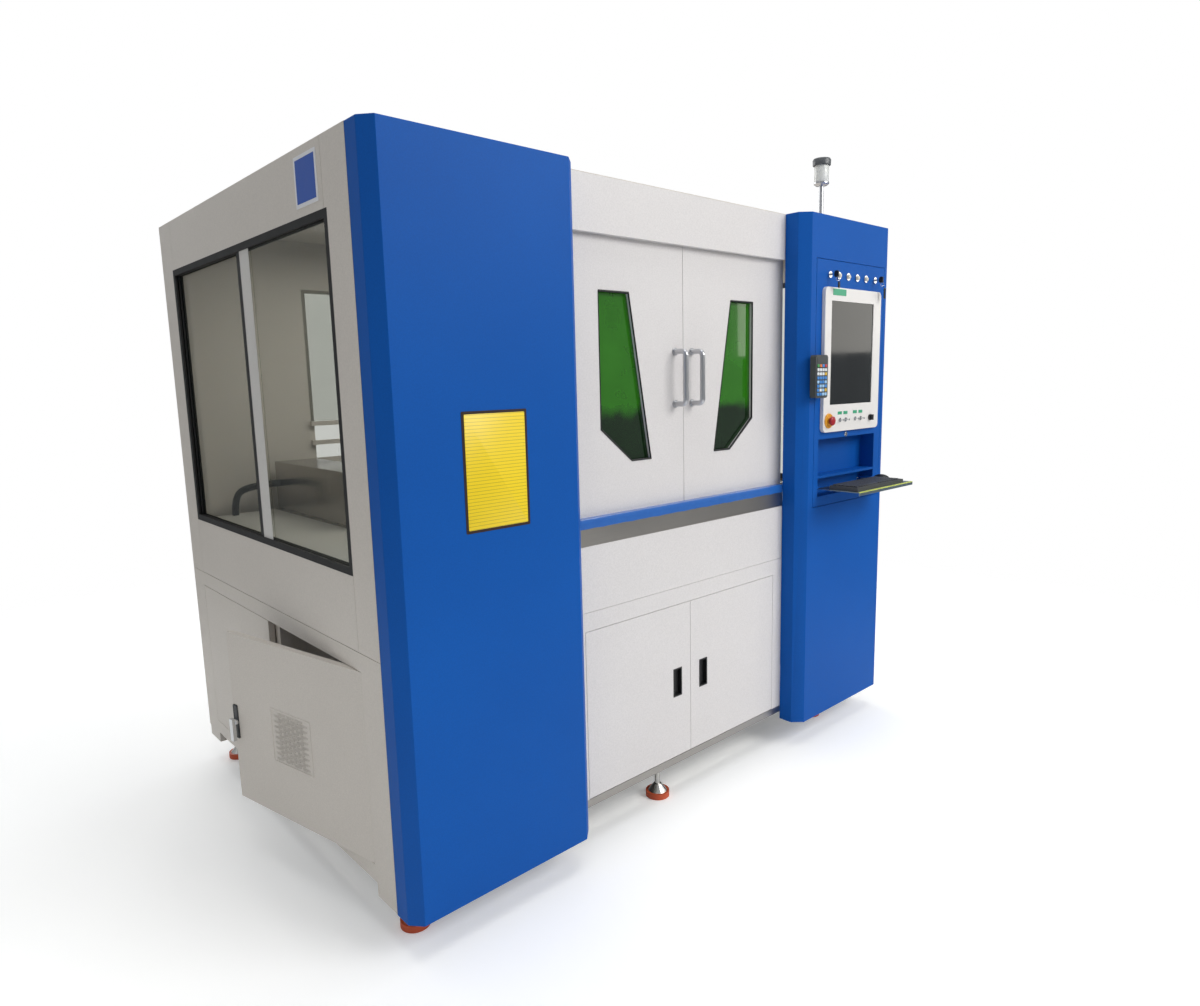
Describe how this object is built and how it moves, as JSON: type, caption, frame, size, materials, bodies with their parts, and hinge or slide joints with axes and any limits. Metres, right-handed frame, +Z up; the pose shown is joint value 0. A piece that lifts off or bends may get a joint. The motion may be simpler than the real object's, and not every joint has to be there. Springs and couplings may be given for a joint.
{
  "type": "fiber laser cutting machine",
  "caption": "Fully enclosed fibre laser cutting machine with sliding front doors, blue corner columns, control screen, gantry and levelling feet.",
  "frame": {"origin": "on the floor under the centre of the front left levelling foot", "axes": "+X along the front to the right end, +Y from the front to the back, +Z up"},
  "size_m": [2.66, 1.934, 2.474],
  "materials": {
    "blue_coat": "satin powder coat",
    "white_coat": "fine texture powder coat",
    "grey_coat": "fine texture powder coat",
    "frame_coat": "satin paint",
    "stainless": "brushed",
    "bare_steel": "laser cut",
    "aluminium": "satin anodised",
    "chrome": "polished",
    "laser_glass": "tinted",
    "clear_glass": "clear",
    "black_plastic": "fine texture",
    "grey_plastic": "moulded",
    "light_plastic": "moulded",
    "screen_glass": "glossy",
    "red_plastic": "glossy",
    "orange_rubber": "moulded"
  },
  "bodies": {
    "machine": {"base_frame": "frame_coat", "work_deck": "white_coat", "slat_frame": "frame_coat", "support_slats": "bare_steel", "scrap_bin": "grey_coat", "left_column_shell": "blue_coat", "right_column_shell": "blue_coat", "header_panel": "white_coat", "sill_strip": "stainless", "front_apron": "white_coat", "lower_front_frame": "white_coat", "threshold_strip": "stainless", "left_end_frame": "grey_coat", "right_end_frame": "grey_coat", "door_track": "aluminium", "rear_panel": "grey_coat", "end_window_frame": "black_plastic", "fixed_panes": "clear_glass", "roof_panel": "grey_coat", "foot_pads": "orange_rubber", "foot_studs": "chrome", "rail_covers": "stainless", "gantry_ways": "frame_coat", "cable_hose": "black_plastic", "control_panel": "blue_coat", "screen_bezel": "light_plastic", "screen": "screen_glass", "control_collars": "chrome", "toggle_switches": "chrome", "hand_pendant": "grey_plastic", "signal_lamp": "light_plastic"},
    "sliding_door_left": {"upper_door_left": "white_coat", "door_window_left": "laser_glass", "door_handle_left": "aluminium"},
    "cabinet_door_left": {"lower_door_left": "white_coat", "lower_pull_left": "black_plastic"},
    "sliding_door_right": {"upper_door_right": "white_coat", "door_window_right": "laser_glass", "door_handle_right": "aluminium"},
    "cabinet_door_right": {"lower_door_right": "white_coat", "lower_pull_right": "black_plastic"},
    "side_leaf_front": {"side_door_front": "grey_coat"},
    "side_leaf_back": {"side_door_back": "grey_coat"},
    "side_lever_front": {"side_latch_front": "chrome"},
    "side_lever_back": {"side_latch_back": "chrome"},
    "window_pane": {"end_pane_front": "clear_glass"},
    "gantry": {"gantry_beam": "aluminium"},
    "carriage": {"cross_carriage": "blue_coat"},
    "head": {"cutting_head": "aluminium"},
    "tray": {"keyboard_tray": "stainless", "keyboard": "black_plastic", "mouse": "black_plastic"},
    "stop_head": {"stop_button": "red_plastic"},
    "button_1": {"push_button_1": "light_plastic"},
    "button_2": {"push_button_2": "light_plastic"},
    "button_3": {"push_button_3": "light_plastic"},
    "button_4": {"push_button_4": "light_plastic"},
    "key_left": {"switch_key_left": "chrome"},
    "key_right": {"switch_key_right": "chrome"},
    "knob": {"selector_knob": "black_plastic"}
  },
  "joints": [
    {"name": "sliding_door_left_travel", "type": "slide", "parent": "machine", "child": "sliding_door_left", "axis": [-1, 0, 0], "range_m": [0, 0.5]},
    {"name": "sliding_door_right_travel", "type": "slide", "parent": "machine", "child": "sliding_door_right", "axis": [1, 0, 0], "range_m": [0, 0.5]},
    {"name": "cabinet_door_left_hinge", "type": "hinge", "parent": "machine", "child": "cabinet_door_left", "pos_m": [0.649, -0.065, 0.464], "axis": [0, 0, -1], "range_deg": [0, 110]},
    {"name": "cabinet_door_right_hinge", "type": "hinge", "parent": "machine", "child": "cabinet_door_right", "pos_m": [1.668, -0.065, 0.464], "axis": [0, 0, 1], "range_deg": [0, 110]},
    {"name": "side_door_front_hinge", "type": "hinge", "parent": "machine", "child": "side_leaf_front", "pos_m": [-0.085, 0.066, 0.498], "axis": [0, 0, 1], "range_deg": [-12, 83]},
    {"name": "side_door_back_hinge", "type": "hinge", "parent": "machine", "child": "side_leaf_back", "pos_m": [-0.085, 1.441, 0.498], "axis": [0, 0, -1], "range_deg": [0, 95]},
    {"name": "side_latch_front_turn", "type": "hinge", "parent": "side_leaf_front", "child": "side_lever_front", "pos_m": [-0.22472, 0.72332, 0.479], "axis": [0.9781, 0.2079, 0], "range_deg": [-90, 0]},
    {"name": "side_latch_back_turn", "type": "hinge", "parent": "side_leaf_back", "child": "side_lever_back", "pos_m": [-0.085, 0.769, 0.479], "axis": [1, 0, 0], "range_deg": [0, 90]},
    {"name": "window_pane_travel", "type": "slide", "parent": "machine", "child": "window_pane", "axis": [0, 1, 0], "range_m": [0, 0.66]},
    {"name": "gantry_travel", "type": "slide", "parent": "machine", "child": "gantry", "axis": [0, 1, 0], "range_m": [-0.9, 0.24]},
    {"name": "carriage_travel", "type": "slide", "parent": "gantry", "child": "carriage", "axis": [1, 0, 0], "range_m": [-0.55, 0.55]},
    {"name": "head_travel", "type": "slide", "parent": "carriage", "child": "head", "axis": [0, 0, 1], "range_m": [-0.025, 0.09]},
    {"name": "keyboard_tray_travel", "type": "slide", "parent": "machine", "child": "tray", "axis": [0, 1, 0], "range_m": [0, 0.043]},
    {"name": "stop_button_press", "type": "slide", "parent": "machine", "child": "stop_head", "axis": [0, 1, 0], "range_m": [0, 0.005]},
    {"name": "push_button_1_press", "type": "slide", "parent": "machine", "child": "button_1", "axis": [0, 1, 0], "range_m": [0, 0.005], "stiffness_N_per_m": 400},
    {"name": "push_button_2_press", "type": "slide", "parent": "machine", "child": "button_2", "axis": [0, 1, 0], "range_m": [0, 0.005], "stiffness_N_per_m": 400},
    {"name": "push_button_3_press", "type": "slide", "parent": "machine", "child": "button_3", "axis": [0, 1, 0], "range_m": [0, 0.005], "stiffness_N_per_m": 400},
    {"name": "push_button_4_press", "type": "slide", "parent": "machine", "child": "button_4", "axis": [0, 1, 0], "range_m": [0, 0.005], "stiffness_N_per_m": 400},
    {"name": "key_left_turn", "type": "hinge", "parent": "machine", "child": "key_left", "pos_m": [1.91, -0.167, 1.979], "axis": [0, 1, 0], "range_deg": [0, 90]},
    {"name": "key_right_turn", "type": "hinge", "parent": "machine", "child": "key_right", "pos_m": [2.268, -0.167, 1.979], "axis": [0, 1, 0], "range_deg": [0, 90]},
    {"name": "knob_turn", "type": "hinge", "parent": "machine", "child": "knob", "pos_m": [2.233, -0.182, 1.391], "axis": [0, 1, 0], "range_deg": [-60, 60]}
  ]
}
